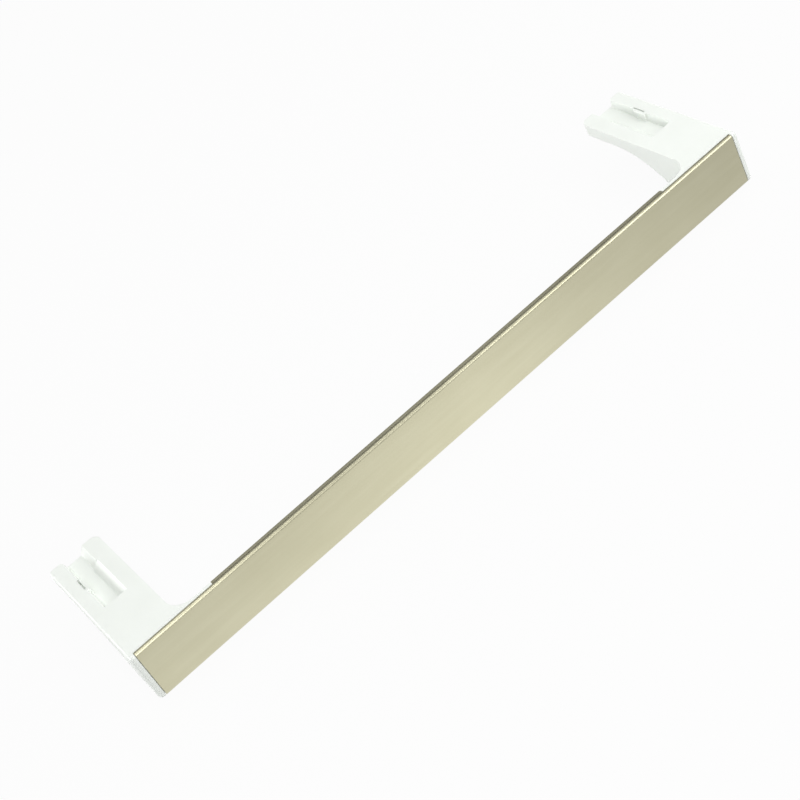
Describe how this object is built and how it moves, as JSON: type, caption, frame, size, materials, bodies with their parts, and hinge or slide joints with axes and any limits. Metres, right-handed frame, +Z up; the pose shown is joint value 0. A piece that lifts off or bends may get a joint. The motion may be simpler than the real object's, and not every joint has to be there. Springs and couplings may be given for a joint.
{
  "type": "refrigerator door handle",
  "caption": "C-shaped bar handle for a refrigerator door: a folded metal front with a plastic bracket at each end, its arm reaching back to a stepped mounting recess.",
  "frame": {"origin": "middle of the handle's footprint, at the bottom of its bounding box, as it lies on its lower long side", "axes": "+X along the bar, +Y from the bar back to the door, +Z up"},
  "size_m": [0.318, 0.0732, 0.0246],
  "materials": {
    "champagne_metal": "satin, fine brushed grain along the bar",
    "white_plastic": "smooth semi-gloss moulding",
    "core_plastic": "fine matt moulding",
    "screw_steel": "zinc plated"
  },
  "bodies": {
    "root": {"front_channel": "champagne_metal", "grip_core": "core_plastic", "left_bracket": "white_plastic", "right_bracket": "white_plastic", "left_screw_outer": "screw_steel", "left_screw_inner": "screw_steel", "right_screw_outer": "screw_steel", "right_screw_inner": "screw_steel"}
  },
  "joints": []
}
